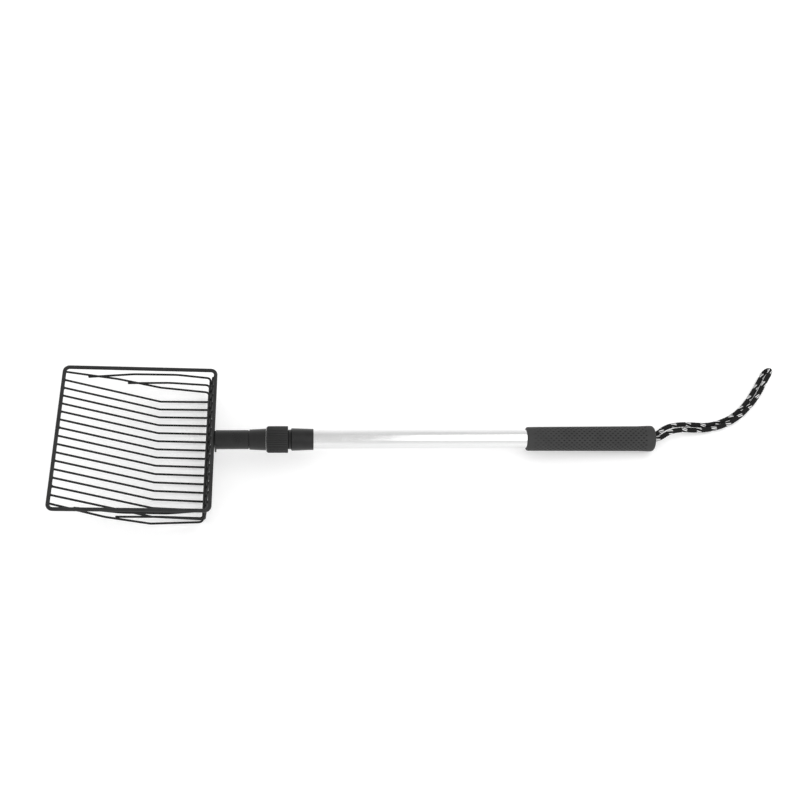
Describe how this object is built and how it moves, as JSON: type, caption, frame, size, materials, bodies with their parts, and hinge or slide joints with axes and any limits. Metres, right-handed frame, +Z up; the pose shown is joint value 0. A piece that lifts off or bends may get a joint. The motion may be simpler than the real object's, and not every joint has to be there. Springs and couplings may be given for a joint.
{
  "type": "beach sand scoop",
  "caption": "Wire sifting basket on a telescoping aluminium pole with a twist lock, a dimpled rubber grip and a wrist cord.",
  "frame": {"origin": "on the ground under the middle of the scoop's length, without its cord", "axes": "+X towards the grip, +Y to the side, +Z up; the scoop lies on the back edge of the basket's floor and on the end of its grip, so the pole falls 3.3 degrees towards the grip"},
  "size_m": [0.8687, 0.1991, 0.0677],
  "materials": {
    "black_coating": "satin black powder coat on steel wire",
    "socket_coating": "satin black powder coat on steel tube",
    "black_plastic": "satin moulded",
    "nut_plastic": "satin moulded, ribbed",
    "white_plastic": "smooth moulded",
    "bare_aluminium": "satin drawn tube",
    "rivet_aluminium": "bright",
    "grip_rubber": "matt, dimpled",
    "cord_fabric": "braided, black with white tracer flecks"
  },
  "bodies": {
    "handle": {"outer_tube": "bare_aluminium", "collet_body": "black_plastic", "grip_sleeve": "grip_rubber", "end_plug": "black_plastic", "lanyard_knot": "cord_fabric", "lanyard_cord": "cord_fabric"},
    "lock_nut": {"lock_nut": "nut_plastic"},
    "guide_bush": {"guide_bush": "white_plastic"},
    "basket": {"rim_frame": "black_coating", "lower_hoop": "black_coating", "middle_hoop": "black_coating", "upper_hoop": "black_coating", "floor_wire_01": "black_coating", "floor_wire_02": "black_coating", "floor_wire_03": "black_coating", "floor_wire_04": "black_coating", "floor_wire_05": "black_coating", "floor_wire_06": "black_coating", "floor_wire_07": "black_coating", "floor_wire_08": "black_coating", "floor_wire_09": "black_coating", "floor_wire_10": "black_coating", "floor_wire_11": "black_coating", "floor_wire_12": "black_coating", "floor_wire_13": "black_coating", "floor_wire_14": "black_coating", "floor_wire_15": "black_coating", "socket_plate": "socket_coating", "socket_tube": "socket_coating", "socket_rivet": "rivet_aluminium", "collar": "black_plastic", "inner_tube": "bare_aluminium"}
  },
  "joints": [
    {"name": "nut_twist", "type": "hinge", "parent": "handle", "child": "lock_nut", "pos_m": [-0.09808, 0, 0.04072], "axis": [0.9984, 0, -0.0568], "range_deg": [0, 180]},
    {"name": "pole_slide", "type": "slide", "parent": "handle", "child": "guide_bush", "axis": [-0.9984, 0, 0.0568], "range_m": [0, 0.38]},
    {"name": "pole_swivel", "type": "hinge", "parent": "guide_bush", "child": "basket", "pos_m": [0.30627, 0, 0.01773], "axis": [0.9984, 0, -0.0568], "continuous": true}
  ]
}
